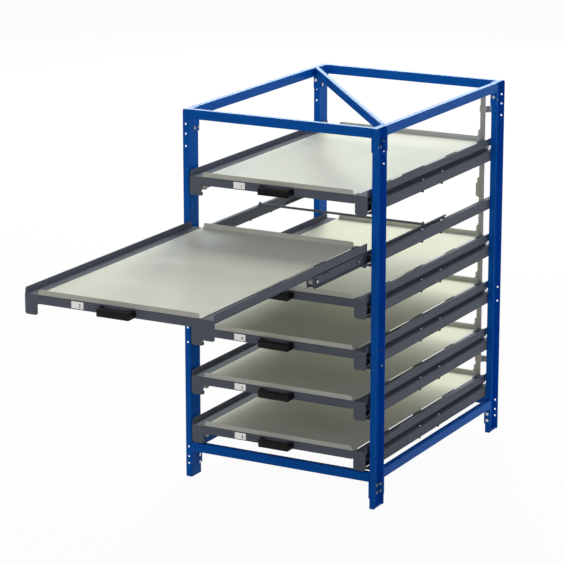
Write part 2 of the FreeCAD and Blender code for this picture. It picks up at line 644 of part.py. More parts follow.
def cross_member(middle):
    """A folded channel under the tray, from beam to beam, open downwards."""
    rear = middle + CROSS_MEMBER_WIDTH / 2
    front = middle - CROSS_MEMBER_WIDTH / 2
    path = [(rear, -CROSS_MEMBER_HEIGHT), (rear, 0), (front, 0), (front, -CROSS_MEMBER_HEIGHT)]
    return folded("x", -WALL_FACE, WALL_FACE, path, BAR_SHEET)


def rear_bar():
    """The shallow angle under the tray's rear edge, above the way of the tie bar."""
    path = [(DRAWER_REAR, -REAR_BAR_HEIGHT), (DRAWER_REAR, 0), (DRAWER_REAR - REAR_BAR_WIDTH, 0)]
    return folded("x", -WALL_FACE, WALL_FACE, path, BAR_SHEET)


def tray():
    """The tray sheet with its lips, narrower than the floor and rounded at their top corners."""
    half = WALL_FACE - TRAY_SIDE_GAP
    rear = DRAWER_REAR + TRAY_REAR_OVERHANG
    path = [(DRAWER_FRONT, LIP_HEIGHT), (DRAWER_FRONT, 0), (rear, 0), (rear, LIP_HEIGHT)]
    sheet = folded("x", -half, half, path, TRAY_SHEET)
    lip = half - LIP_SIDE_STEP
    outline = [(-half, 0), (half, 0), (half, LIP_ROOT), (lip, LIP_ROOT),
               (lip, LIP_HEIGHT), (-lip, LIP_HEIGHT), (-lip, LIP_ROOT), (-half, LIP_ROOT)]
    corners = [0, 0, 0, 0, LIP_CORNER, LIP_CORNER, 0, 0]
    return sheet.common(prism("y", DRAWER_FRONT, rear, outline, corners))


def handle():
    """The bridge handle: a bow with splayed legs, crossed with a side outline that drops to the grip."""
    half = HANDLE_LENGTH / 2
    leg = half - HANDLE_LEG
    bow_half = half - HANDLE_SPLAY
    bow_leg = leg - HANDLE_SPLAY
    reach = DRAWER_FRONT - HANDLE_REACH
    inside = reach + HANDLE_GRIP
    plan = [(-half, DRAWER_FRONT), (-bow_half, reach), (bow_half, reach), (half, DRAWER_FRONT),
            (leg, DRAWER_FRONT), (bow_leg, inside), (-bow_leg, inside), (-leg, DRAWER_FRONT)]
    plan_corners = [0, HANDLE_CORNER, HANDLE_CORNER, 0, 0, HANDLE_INNER_CORNER, HANDLE_INNER_CORNER, 0]
    bow = prism("z", HANDLE_BOTTOM, HANDLE_TOP, plan, plan_corners)
    side = [(DRAWER_FRONT, HANDLE_TOP), (DRAWER_FRONT, HANDLE_FOOT), (inside, HANDLE_BOTTOM),
            (reach, HANDLE_BOTTOM), (reach, HANDLE_GRIP_TOP)]
    side_corners = [0, 0, HANDLE_EDGE, HANDLE_EDGE, HANDLE_EDGE]
    return bow.common(prism("x", -half, half, side, side_corners))


def interlock_bar():
    """The lifting bar with a hook plate for each drawer and the collar that rests on the lower guide."""
    bottom = LEVELS[-1] - INTERLOCK_BELOW_LOWEST
    bar = block((INTERLOCK_LEFT, INTERLOCK_RIGHT), (INTERLOCK_FRONT, INTERLOCK_REAR),
                (bottom, FRAME_HEIGHT - INTERLOCK_BELOW_TOP))
    tip = INTERLOCK_LEFT - HOOK_REACH
    step = tip + HOOK_STEP
    hook_side = [
        (INTERLOCK_LEFT, -HOOK_DOWN),
        (INTERLOCK_LEFT, HOOK_UP),
        (step, HOOK_UP - HOOK_STEP),
        (step, HOOK_UP / 2),
        (tip, HOOK_UP / 2 - HOOK_STEP),
        (tip, HOOK_STEP - HOOK_DOWN),
        (step, -HOOK_DOWN),
    ]
    middle = (INTERLOCK_FRONT + INTERLOCK_REAR) / 2
    hook = prism("y", middle - HOOK_SHEET / 2, middle + HOOK_SHEET / 2, hook_side)
    collar_bottom = LOWER_GUIDE_BOTTOM + GUIDE_HEIGHT + COLLAR_CLEARANCE
    margin = GUIDE_CLEARANCE + SHEET
    collar = block((INTERLOCK_LEFT - margin, INTERLOCK_RIGHT + margin),
                   (INTERLOCK_FRONT - margin, INTERLOCK_REAR + margin),
                   (collar_bottom, collar_bottom + COLLAR_HEIGHT))
    return joined(bar, collar, *[moved(hook, 0, level) for level in LEVELS])


def interlock_guide(bottom):
    """A bracket on the web of the back right post that holds the lifting bar from behind, right and front."""
    top = bottom + GUIDE_HEIGHT
    rear_face = INTERLOCK_REAR + GUIDE_CLEARANCE
    front_face = INTERLOCK_FRONT - GUIDE_CLEARANCE - SHEET
    left = INTERLOCK_LEFT - SHEET
    block_left = INTERLOCK_RIGHT + GUIDE_CLEARANCE
    outside = rear_face + SHEET
    path = [(WEB_FACE, outside - GUIDE_FLANGE), (WEB_FACE, outside), (left, outside)]
    back_plate = folded("z", bottom, top, path)
    spacer = block((block_left, block_left + GUIDE_BLOCK), (front_face, rear_face), (bottom, top))
    keeper = block((left, block_left), (front_face, front_face + SHEET), (bottom, top))
    return joined(back_plate, spacer, keeper)


def save_frame():
    """Write the standing frame: posts, rails, brace, bolts and the fixed part of the slides."""
    corner_names = ("front_right", "front_left", "back_right", "back_left")
    for name, piece in zip(corner_names, four_corners(post())):
        save(f"post_{name}", [piece])
    save("base_plates", four_corners(base_plate()))
    save("top_caps", four_corners(post_end_cap(FRAME_HEIGHT - END_CAP_SHEET, END_CAP_SHEET)))
    top_front = front_rail(TOP_RAIL_HEIGHT, FRAME_HEIGHT - HEAD_PLATE_DROP, HEAD_BOLT_SPOTS)
    bottom_front = front_rail(BOTTOM_RAIL_HEIGHT, FOOT_PLATE_BOTTOM, FOOT_BOLT_SPOTS)
    top_side = side_rail(TOP_RAIL_HEIGHT, FRAME_HEIGHT - SIDE_HEAD_PLATE_DROP, HEAD_HOLE_HEIGHTS)
    bottom_side = side_rail(BOTTOM_RAIL_HEIGHT, FOOT_PLATE_BOTTOM, FOOT_HOLE_HEIGHTS)
    for place, front, side in (("top", top_front, top_side), ("bottom", bottom_front, bottom_side)):
        save(f"{place}_rail_front", [front])
        save(f"{place}_rail_back", [other_end(front)])
        save(f"{place}_rail_right", [side])
        save(f"{place}_rail_left", [other_side(side)])
    save("top_brace", [top_brace()])
    bolts = [piece for corner_bolt in corner_bolts() for piece in four_corners(corner_bolt)]
    save("frame_bolts", bolts)
    rails = [moved(fixed_rail(), 0, level) for level in LEVELS]
    save("slide_rails_right", rails)
    save("slide_rails_left", [other_side(rail) for rail in rails])
    rollers = [moved(support_roller(), 0, level) for level in LEVELS]
    save("support_rollers", rollers + [other_side(wheel) for wheel in rollers])
    save("interlock_bar", [interlock_bar()])
    save("interlock_guides", [interlock_guide(LOWER_GUIDE_BOTTOM), interlock_guide(UPPER_GUIDE_BOTTOM)])


def save_drawers():
    """Write every drawer and its middle rails; the open level's pieces stand drawn out."""
    beams = [side_beam(True), runner(), other_side(side_beam(False)), other_side(runner()), interlock_catch()]
    bars = [front_bar(), rear_bar()] + [cross_member(place) for place in CROSS_MEMBER_PLACES]
    rail = middle_rail()
    rollers = middle_rollers()
    rollers += [other_side(wheel) for wheel in rollers]
    drawer_groups = {"side_beams": beams, "cross_bars": bars, "tray": [tray()], "handle": [handle()]}
    middle_groups = {"middle_rails": [rail, other_side(rail), tie_bar()], "rollers": rollers}
    for number, level in enumerate(LEVELS, start=1):
        drawn_out = DRAWER_TRAVEL if number == OPEN_LEVEL else 0
        for name, pieces in drawer_groups.items():
            save(f"{name}_{number}", [moved(piece, drawn_out, level) for piece in pieces])
        for name, pieces in middle_groups.items():
            out = drawn_out * MIDDLE_RAIL_SHARE
            save(f"{name}_{number}", [moved(piece, out, level) for piece in pieces])


os.makedirs("parts", exist_ok=True)
save_frame()
save_drawers()
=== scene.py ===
"""Finishes, handles, labels and small fasteners of an open workshop rack with six roll-out drawers."""
import math

import bmesh
import bpy
from bpy.props import FloatProperty, FloatVectorProperty, PointerProperty
from mathutils import Matrix, Vector


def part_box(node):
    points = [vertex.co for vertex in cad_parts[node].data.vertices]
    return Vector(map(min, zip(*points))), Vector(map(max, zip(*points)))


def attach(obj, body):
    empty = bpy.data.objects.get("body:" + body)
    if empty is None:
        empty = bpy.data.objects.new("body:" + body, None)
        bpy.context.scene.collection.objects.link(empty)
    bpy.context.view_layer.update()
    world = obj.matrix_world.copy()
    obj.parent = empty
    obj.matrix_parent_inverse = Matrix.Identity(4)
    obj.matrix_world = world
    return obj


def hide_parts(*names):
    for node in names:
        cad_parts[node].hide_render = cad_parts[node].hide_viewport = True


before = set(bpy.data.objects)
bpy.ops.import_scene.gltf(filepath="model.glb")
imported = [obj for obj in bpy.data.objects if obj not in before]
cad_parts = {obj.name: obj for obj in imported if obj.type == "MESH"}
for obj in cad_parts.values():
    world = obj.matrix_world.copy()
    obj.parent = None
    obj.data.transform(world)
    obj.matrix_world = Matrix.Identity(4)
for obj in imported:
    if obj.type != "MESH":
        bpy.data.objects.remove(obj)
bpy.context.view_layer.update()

bl_info = {
    "name": "Roll-out rack finishes",
    "version": (1, 0, 0),
    "blender": (4, 5, 0),
    "location": "View3D > Sidebar > Rack",
    "description": "Paints, plastics, handles, labels and small fasteners of a roll-out drawer rack",
    "category": "Object",
}

MM = 0.001
UP = Vector((0, 0, 1))
DOWN = Vector((0, 0, -1))
QUARTER_TURN = math.radians(90)
LEFT_AND_RIGHT = (-1, 1)
FRONT_AND_BACK = (-1, 1)

# Names in the construction
DRAWER_NUMBERS = range(1, 7)
POSTS = ("post_front_right", "post_front_left", "post_back_right", "post_back_left")
RAIL_LEVELS = ("top", "bottom")
RAIL_SIDES = ("front", "back", "left", "right")

# Finishes that more than one step uses
BLUE_COAT = "blue_gloss_powder_coat"
BLACK_NYLON = "black_moulded_handle_nylon"
ZINC = "bright_zinc_plate"

# Seats of small fasteners: the posts' sheet, drops from a drawer's bar top, distances from the outside
POST_SHEET = 3 * MM
RAIL_TOP_DROP = 37 * MM
RAIL_BOTTOM_DROP = 93 * MM
STOP_FROM_OUTSIDE = 14 * MM
AXLE_DROP = 59 * MM
AXLE_HEAD_FROM_OUTSIDE = 32 * MM

# Places along the depth in metres: stop bolts from the rack's middle, axles from the front of their rail
STOP_PLACES = (-0.152, 0.082)
AXLE_PLACES = (0.025, 0.475)

# Heads: the share of the height that the rim's chamfer or rounding takes, and the steps it is made in
HEX_SIDES = 6
HEX_RIM = 0.2
HEX_RIM_STEPS = 1
ROUND_SIDES = 12
ROUND_RIM = 0.7
ROUND_RIM_STEPS = 3

# Handles and labels: rounded edges, and the number's place on its card as shares of width and height
HANDLE_EDGE_STEPS = 3
LABEL_ROUNDING = 0.5 * MM
LABEL_EDGE_STEPS = 2
NUMBER_BESIDE = 0.2
NUMBER_BELOW = 0.08
NUMBER_HALF_DEPTH = 0.15 * MM
NUMBER_BOLDNESS = 0.45 * MM
NUMBER_WELD = 0.001 * MM

# Patterns: the whole range of values, and the narrower one that noise mostly keeps to
WHOLE_SPAN = (0.0, 1.0)
NOISE_SPAN = (0.3, 0.7)
PEEL_STRENGTH = 0.35
ROUGHNESS_SPREAD = (0.85, 1.2)
PEBBLE_SIZE = 1.2

# One turned ring in about 4 mm, as a scale of the wave pattern
RING_SCALE = 250 / math.pi

# Painted glow: light the label card gives off of itself, standing in for an optical brightener's whitening
PAINTED_LABEL_GLOW = 0.35

# Stage: the soft key and the fill
KEY_PLACE = Vector((-4.2, 11.0, 6.4))
KEY_AIM = Vector((0, 0, 1.2))
KEY_SIZE = (3.0, 7.2)
KEY_COLOUR = "#FFFCE9"
FILL_COLOUR = "#FCF8FF"

# Stage: the panel that gloss reflects
PANEL_PLACE = Vector((-2.6, 6.2, 3.8))
PANEL_AIM = Vector((0, 0, 2))
PANEL_SIZE = (7.0, 2.4)
PANEL_COLOUR = "#E6FAFF"

# Stage: the dark card behind the rack
DARK_CARD_PLACE = Vector((-1.63, 1.79, 1.345))
DARK_CARD_FACING = Vector((0.652, -0.716, 0.252))
DARK_CARD_SIZE = (2.6, 0.9)
DARK_CARD_COLOUR = "#050505"

# Stage: the floor, and the share of white paper in how it shows
FLOOR_COLOUR = "#C8C8C8"
FLOOR_ROUGHNESS = 0.9
PAPER_SHARE = 0.96
WHITE = (1, 1, 1, 1)

# Stage: the camera's sensor in millimetres, its shift as shares of that, and its reach in metres
SENSOR_WIDTH = 36
LENS_SHIFT = (-0.0085, -0.0123)
VIEW_REACH = 200


def linear_channel(value):
    """One sRGB channel as linear light, by the standard's formula."""
    if value <= 0.04045:
        return value / 12.92
    return ((value + 0.055) / 1.055) ** 2.4


def linear(hex_colour):
    """An sRGB hex colour as linear red, green and blue."""
    return tuple(linear_channel(int(hex_colour[start:start + 2], 16) / 255) for start in (1, 3, 5))


def colour_setting(name, description, hex_colour):
    """A colour that a user can change, with its default."""
    return FloatVectorProperty(
        name=name, description=description, default=linear(hex_colour),
        subtype="COLOR", size=3, min=0, max=1
    )


def length_setting(name, description, millimetres):
    """A length that a user can change, with its default."""
    return FloatProperty(
        name=name, description=description, default=millimetres * MM,
        subtype="DISTANCE", unit="LENGTH", min=0
    )


def angle_setting(name, description, degrees):
    """An angle that a user can change, with its default."""
    return FloatProperty(
        name=name, description=description, default=math.radians(degrees),
        subtype="ANGLE", unit="ROTATION"
    )


def power_setting(name, description, watts):
    """A lamp's power that a user can change, with its default."""
    return FloatProperty(
        name=name, description=description, default=watts,
        unit="POWER", min=0
    )


def strength_setting(name, description, strength):
    """A share of full white that a user can change, with its default."""
    return FloatProperty(
        name=name, description=description, default=strength,
        subtype="FACTOR", min=0, max=1
    )


class RackFinishes(bpy.types.PropertyGroup):
    """Colours of the rack's paints, plastics and metals."""

    frame_blue: colour_setting("Frame blue", "Gloss powder coat of posts and rails", "#1068CC")
    slide_grey: colour_setting("Slide grey", "Satin powder coat of drawers and slides", "#727984")
    tray_white: colour_setting("Tray white", "Off-white powder coat of the trays", "#E1E4D7")
    interlock_grey: colour_setting("Interlock grey", "Light grey paint of the interlock bar", "#CBC5B9")
    handle_black: colour_setting("Handle black", "Nylon of handles and stop bolt heads", "#0C0C0E")
    roller_white: colour_setting("Roller white", "Nylon of the slides' rollers", "#E6E6E0")
    roller_grey: colour_setting("Roller grey", "Dark nylon of the support rollers", "#3C3E44")
    bolt_zinc: colour_setting("Bolt zinc", "Bright zinc plate of bolts, nuts and axle ends", "#C6C8CB")
    label_card: colour_setting("Label card", "Card of the labels", "#F4F4F1")
    label_ink: colour_setting("Label ink", "Printed number on a label", "#2B2C30")


class RackDetails(bpy.types.PropertyGroup):
    """Sizes of the labels, small fasteners and handles."""

    label_width: length_setting("Label width", "Width of a drawer's label", 66)
    label_height: length_setting("Label height", "Height of a drawer's label", 34)
    label_thickness: length_setting("Label thickness", "Card with its backing", 1.6)
    label_offset: length_setting("Label offset", "From the drawer's middle to the label's middle", 221)
    label_drop: length_setting("Label drop", "From the bar's top to the label's top", 5)
    number_size: length_setting("Number size", "Type size of the printed number", 24)
    stop_across: length_setting("Stop bolt", "Width across flats of the slide rails' stop bolts", 13)
    stop_height: length_setting("Stop bolt height", "Height of the bolt heads under the slide rails", 12)
    stop_nut_height: length_setting("Stop nut height", "Height of their nuts on top of the rails", 5.6)
    rivet_diameter: length_setting("Rivet", "Head of the rivets that hold slide rails to posts", 13)
    rivet_height: length_setting("Rivet height", "Height of a rivet head", 3.5)
    rivet_spread: length_setting("Rivet spread", "Distance between the two rivets of a rail end", 52)
    rivet_drop: length_setting("Rivet drop", "From a drawer's bar top down to its rivets", 84)
    axle_cap_diameter: length_setting("Axle cap", "Riveted end of a roller axle on the middle rails", 17)
    axle_cap_height: length_setting("Axle cap height", "Height of that riveted end", 2.5)
    handle_leg: length_setting("Handle leg", "Width of a handle's leg where it meets the bar", 26)
    handle_splay: length_setting("Handle splay", "How far a leg leans inwards", 12)
    handle_grip: length_setting("Handle grip", "Thickness of the grip", 16)
    handle_top: length_setting("Handle top", "From the bar's top down to the legs' top", 5)
    handle_grip_drop: length_setting("Grip drop", "From the legs' top down to the grip's top", 5)
    handle_foot: length_setting("Handle foot", "From the bar's top down to the legs' underside", 40)
    handle_rounding: length_setting("Handle rounding", "Radius of the moulded edges", 4)


class RackStage(bpy.types.PropertyGroup):
    """Camera, floor and lights."""

    camera_place: FloatVectorProperty(
        name="Camera", description="Camera position", default=(6.1645, -12.0371, 4.5219),
        subtype="TRANSLATION", unit="LENGTH", size=3
    )
    camera_azimuth: angle_setting("Azimuth", "Turn of the view about the vertical", 28.497)
    camera_elevation: angle_setting("Elevation", "How far the camera looks down", 14.593)
    lens: FloatProperty(
        name="Lens", description="Focal length", default=164.28,
        subtype="DISTANCE_CAMERA"
    )
    floor_size: length_setting("Floor", "Side of the floor", 60000)
    key_power: power_setting("Key light", "Power of the soft light behind and left", 2550)
    sheen_power: power_setting("Sheen panel", "Power of the panel that gloss reflects", 215)
    sky_fill: strength_setting("Fill", "Soft light from all around, near the ground", 0.66)
    top_fill: strength_setting("Top fill", "Soft light from straight above", 0.2)


def set_inputs(tree, node, inputs):
    """Set a node's inputs, or link them to other nodes' outputs."""
    for socket, value in inputs.items():
        if isinstance(value, bpy.types.NodeSocket):
            tree.links.new(value, node.inputs[socket])
        else:
            node.inputs[socket].default_value = value


def add_node(tree, kind, inputs=None, **settings):
    """Add a node with its settings and its inputs."""
    node = tree.nodes.new(kind)
    for name, value in settings.items():
        setattr(node, name, value)
    set_inputs(tree, node, inputs or {})
    return node


def new_material(name):
    """An empty node material, its nodes and its shader."""
    material = bpy.data.materials.new(name)
    material.use_nodes = True
    shader = material.node_tree.nodes["Principled BSDF"]
    return material, material.node_tree, shader


def shade(colour, factor):
    """A colour made darker or lighter, with an alpha of one."""
    return tuple(min(channel * factor, 1) for channel in colour) + (1,)


def per_metre(millimetres):
    """Pattern scale that repeats about once in a real size."""
    return 1 / (millimetres * MM)


def object_place(tree):
    """Coordinates in metres that stay with a piece."""
    return add_node(tree, "ShaderNodeTexCoord").outputs["Object"]


def noise(tree, size, detail=2.0, grain=0.5):
    """A cloudy pattern of a real size in millimetres."""
    pattern = add_node(tree, "ShaderNodeTexNoise", {
        "Vector": object_place(tree), "Scale": per_metre(size), "Detail": detail, "Roughness": grain})
    return pattern.outputs["Fac"]


def toned(tree, pattern, colour, darkest, lightest, span=WHOLE_SPAN):
    """A colour that goes from a darker to a lighter tone of itself along a pattern."""
    ramp = add_node(tree, "ShaderNodeValToRGB", {"Fac": pattern})
    for stop, position, factor in zip(ramp.color_ramp.elements, span, (darkest, lightest)):
        stop.position = position
        stop.color = shade(colour, factor)
    return ramp.outputs["Color"]


def stretched(tree, pattern, lowest, highest, span=WHOLE_SPAN):
    """A pattern's values, stretched over a new range."""
    stretch = add_node(tree, "ShaderNodeMapRange", {
        "Value": pattern, "From Min": span[0], "From Max": span[1], "To Min": lowest, "To Max": highest})
    return stretch.outputs["Result"]


def relief(tree, pattern, strength, depth):
    """Fine relief from a pattern, with its real depth in millimetres."""
    bump = add_node(tree, "ShaderNodeBump", {
        "Height": pattern, "Strength": strength, "Distance": depth * MM})
    return bump.outputs["Normal"]


def coat(name, colour, roughness, gloss, peel_size, peel_depth, blotch_size, uneven):
    """Sprayed paint: a skin ripple, faint blotches from handling, and a roughness that wanders a little.

    The sizes and the depth are real ones in millimetres.
    """
    material, tree, shader = new_material(name)
    ripple = noise(tree, peel_size)
    blotches = noise(tree, blotch_size, detail=5.0, grain=0.6)
    smoothest, roughest = [roughness * share for share in ROUGHNESS_SPREAD]
    set_inputs(tree, shader, {
        "Base Color": toned(tree, blotches, colour, 1 - uneven, 1 + uneven, NOISE_SPAN),
        "Roughness": stretched(tree, blotches, smoothest, roughest, NOISE_SPAN),
        "Normal": relief(tree, ripple, PEEL_STRENGTH, peel_depth),
        "Specular IOR Level": gloss,
    })
    return material


def blue_gloss_powder_coat(finishes):
    """Polyester powder coat, cured to a gloss: deep colour face on, a near-white sheen at a low angle."""
    return coat(BLUE_COAT, finishes.frame_blue, roughness=0.22, gloss=0.03,
                peel_size=4, peel_depth=0.012, blotch_size=180, uneven=0.06)


def anthracite_powder_coat(finishes):
    """Satin powder coat on folded sheet: dull face on, pale along surfaces seen at a low angle."""
    return coat("anthracite_satin_powder_coat", finishes.slide_grey, roughness=0.5, gloss=0.012,
                peel_size=3, peel_depth=0.05, blotch_size=140, uneven=0.07)


def tray_powder_coat(finishes):
    """Off-white fine-texture powder coat, slightly scuffed where loads are pushed about."""
    return coat("tray_fine_texture_powder_coat", finishes.tray_white, roughness=0.45, gloss=0.05,
                peel_size=2.5, peel_depth=0.08, blotch_size=260, uneven=0.03)


def grey_paint(finishes):
    """Light grey sprayed enamel on flat bar."""
    return coat("light_grey_enamel", finishes.interlock_grey, roughness=0.4, gloss=0.15,
                peel_size=3, peel_depth=0.04, blotch_size=120, uneven=0.06)


def moulded_plastic(finishes):
    """Glass-filled nylon from a spark-eroded mould: a fine pebble grain that softens the highlights."""
    material, tree, shader = new_material(BLACK_NYLON)
    pebbles = add_node(tree, "ShaderNodeTexVoronoi", {
        "Vector": object_place(tree), "Scale": per_metre(PEBBLE_SIZE)})
    wear = noise(tree, size=30, detail=3.0)
    set_inputs(tree, shader, {
        "Base Color": shade(finishes.handle_black, 1),
        "Roughness": stretched(tree, wear, lowest=0.34, highest=0.5, span=NOISE_SPAN),
        "Normal": relief(tree, pebbles.outputs["Distance"], strength=0.4, depth=0.08),
        "IOR": 1.53,
        "Specular IOR Level": 0.15,
    })
    return material


def turned_nylon(name, colour):
    """Nylon rollers turned on a lathe: waxy, with a faint ring pattern and grime from running."""
    material, tree, shader = new_material(name)
    grime = noise(tree, size=14, detail=4.0)
    rings = add_node(tree, "ShaderNodeTexWave", {"Vector": object_place(tree), "Scale": RING_SCALE},
                     wave_type="BANDS", bands_direction="X")
    set_inputs(tree, shader, {
        "Base Color": toned(tree, grime, colour, darkest=0.82, lightest=1),
        "Roughness": 0.42,
        "Normal": relief(tree, rings.outputs["Fac"], strength=0.2, depth=0.03),
        "Subsurface Weight": 0.1,
        "Subsurface Radius": (2 * MM, 2 * MM, 1.8 * MM),
    })
    return material


def zinc_plate(finishes):
    """Bright zinc plate over steel: a slightly milky metal with darker specks."""
    material, tree, shader = new_material(ZINC)
    specks = noise(tree, size=5, detail=6.0)
    set_inputs(tree, shader, {
        "Base Color": toned(tree, specks, finishes.bolt_zinc, darkest=0.7, lightest=1.1),
        "Roughness": stretched(tree, specks, lowest=0.22, highest=0.42),
        "Metallic": 1.0,
    })
    return material


def label_paper(finishes):
    """Uncoated card with a faint mottle, and a painted glow that makes it whiter than the paints round it.
    """
    material, tree, shader = new_material("white_label_card")
    fibres = noise(tree, size=1.5, detail=4.0)
    paper = toned(tree, fibres, finishes.label_card, darkest=0.95, lightest=1)
    set_inputs(tree, shader, {
        "Base Color": paper,
        "Roughness": 0.8,
        # Painted glow: the card gives off light of its own, though it is no lamp
        "Emission Color": paper,
        "Emission Strength": PAINTED_LABEL_GLOW,
    })
    return material


def label_print(finishes):
    """Dark printing ink on card, a little uneven."""
    material, tree, shader = new_material("label_ink")
    grain = noise(tree, size=0.8)
    set_inputs(tree, shader, {
        "Base Color": toned(tree, grain, finishes.label_ink, darkest=0.85, lightest=1.3),
        "Roughness": 0.6,
    })
    return material


def finish(name, make, finishes):
    """A finish that is in the file already, or else a new one."""
    return bpy.data.materials.get(name) or make(finishes)


def finish_nodes(names, material):
    """Give construction pieces their finish."""
    for name in names:
        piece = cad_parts[name]
        piece.data.materials.clear()
        piece.data.materials.append(material)


def numbered(name):
    """The names of the pieces that each drawer has one of."""
    return [f"{name}_{number}" for number in DRAWER_NUMBERS]


def level_of(number):
    """Height of a drawer's bar top, where its tray lies."""
    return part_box(f"tray_{number}")[0].z


def new_object(name, shape, material, smooth=False):
    """An object in the scene from a bmesh, with its finish."""
    mesh = bpy.data.meshes.new(name)
    shape.to_mesh(mesh)
    shape.free()
    mesh.materials.append(material)
    if smooth:
        mesh.shade_smooth()
    made = bpy.data.objects.new(name, mesh)
    bpy.context.scene.collection.objects.link(made)
    return made


def new_piece(name, shape, material, body, smooth=False):
    """A finished piece from a bmesh, riding on a body."""
    bmesh.ops.recalc_face_normals(shape, faces=shape.faces)
    piece = new_object(name, shape, material, smooth)
    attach(piece, body)
    return piece


def round_edges(shape, edges, size, steps):
    """Round edges off, or chamfer them when done in one step."""
    bmesh.ops.bevel(
        shape, geom=edges, offset=size, affect="EDGES", segments=steps, profile=0.5, material=-1)


def standing(place, direction):
    """A transform that puts a shape's own Z along a direction."""
    return Matrix.Translation(place) @ direction.to_track_quat("Z", "Y").to_matrix().to_4x4()


def add_head(shape, seat, direction, radius, height, sides, rim, rim_steps):
    """A head whose underside sits on a face, and whose upper rim is rounded or chamfered."""
    middle = seat + direction * (height / 2)
    made = bmesh.ops.create_cone(
        shape, cap_ends=True, segments=sides, radius1=radius, radius2=radius, depth=height,
        matrix=standing(middle, direction))
    top = [corner for corner in made["verts"] if (corner.co - middle).dot(direction) > 0]
    edges = [edge for edge in shape.edges if edge.verts[0] in top and edge.verts[1] in top]
    round_edges(shape, edges, height * rim, rim_steps)


def add_hex_head(shape, seat, direction, across, height):
    """A chamfered hexagon head of a width across flats."""
    radius = across / math.sqrt(3)
    add_head(shape, seat, direction, radius, height, HEX_SIDES, HEX_RIM, HEX_RIM_STEPS)


def add_round_head(shape, seat, direction, diameter, height):
    """A low domed head."""
    add_head(shape, seat, direction, diameter / 2, height, ROUND_SIDES, ROUND_RIM, ROUND_RIM_STEPS)


class RACK_OT_finish_frame(bpy.types.Operator):
    """Paint the standing frame and the interlock, and plate the bolts"""

    bl_idname = "rack.finish_frame"
    bl_label = "Finish the frame"

    def execute(self, context):
        finishes = context.scene.rack_finishes
        rails = [f"{level}_rail_{side}" for level in RAIL_LEVELS for side in RAIL_SIDES]
        painted = [*POSTS, *rails, "top_brace", "base_plates", "top_caps"]
        finish_nodes(painted, blue_gloss_powder_coat(finishes))
        finish_nodes(["frame_bolts"], zinc_plate(finishes))
        finish_nodes(["interlock_bar", "interlock_guides"], grey_paint(finishes))
        return {"FINISHED"}


class RACK_OT_finish_drawers(bpy.types.Operator):
    """Paint the drawers, trays and slides, and finish the rollers"""

    bl_idname = "rack.finish_drawers"
    bl_label = "Finish the drawers"

    def execute(self, context):
        finishes = context.scene.rack_finishes
        sheet = numbered("side_beams") + numbered("cross_bars") + numbered("middle_rails")
        finish_nodes([*sheet, "slide_rails_left", "slide_rails_right"], anthracite_powder_coat(finishes))
        finish_nodes(numbered("tray"), tray_powder_coat(finishes))
        finish_nodes(numbered("rollers"), turned_nylon("white_turned_nylon", finishes.roller_white))
        finish_nodes(["support_rollers"], turned_nylon("grey_turned_nylon", finishes.roller_grey))
        return {"FINISHED"}


class RACK_OT_handles(bpy.types.Operator):
    """Mould a bridge handle with rounded edges for each drawer"""

    bl_idname = "rack.handles"
    bl_label = "Mould the handles"

    def execute(self, context):
        details = context.scene.rack_details
        plastic = finish(BLACK_NYLON, moulded_plastic, context.scene.rack_finishes)
        for number in DRAWER_NUMBERS:
            shape = bmesh.new()
            self.add_bow(shape, number, details)
            round_edges(shape, shape.edges[:], details.handle_rounding, HANDLE_EDGE_STEPS)
            piece = new_piece(
                f"moulded_handle_{number}", shape, plastic, f"drawer_{number}",
                smooth=True)
            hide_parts(f"handle_{number}")
        return {"FINISHED"}

    def add_bow(self, shape, number, details):
        """A bow in plan, with splayed legs, between an upper and a lower slope."""
        low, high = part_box(f"handle_{number}")
        level = level_of(number)
        outer, inner = high.x, high.x - details.handle_leg
        bow_outer, bow_inner = outer - details.handle_splay, inner - details.handle_splay
        back, front = high.y, low.y
        inside = front + details.handle_grip
        right_half = [(bow_outer, front), (outer, back), (inner, back), (bow_inner, inside)]
        plan = right_half + [(-x, y) for x, y in reversed(right_half)]
        leg_top = level - details.handle_top
        leg_foot = level - details.handle_foot
        upper, lower = [], []
        for x, y in plan:
            forward = (back - y) / (back - front)
            upper.append(shape.verts.new((x, y, leg_top - forward * details.handle_grip_drop)))
            lower.append(shape.verts.new((x, y, leg_foot + forward * (low.z - leg_foot))))
        shape.faces.new(upper)
        shape.faces.new(lower)
        for start in range(len(plan)):
            end = (start + 1) % len(plan)
            shape.faces.new((upper[start], upper[end], lower[end], lower[start]))


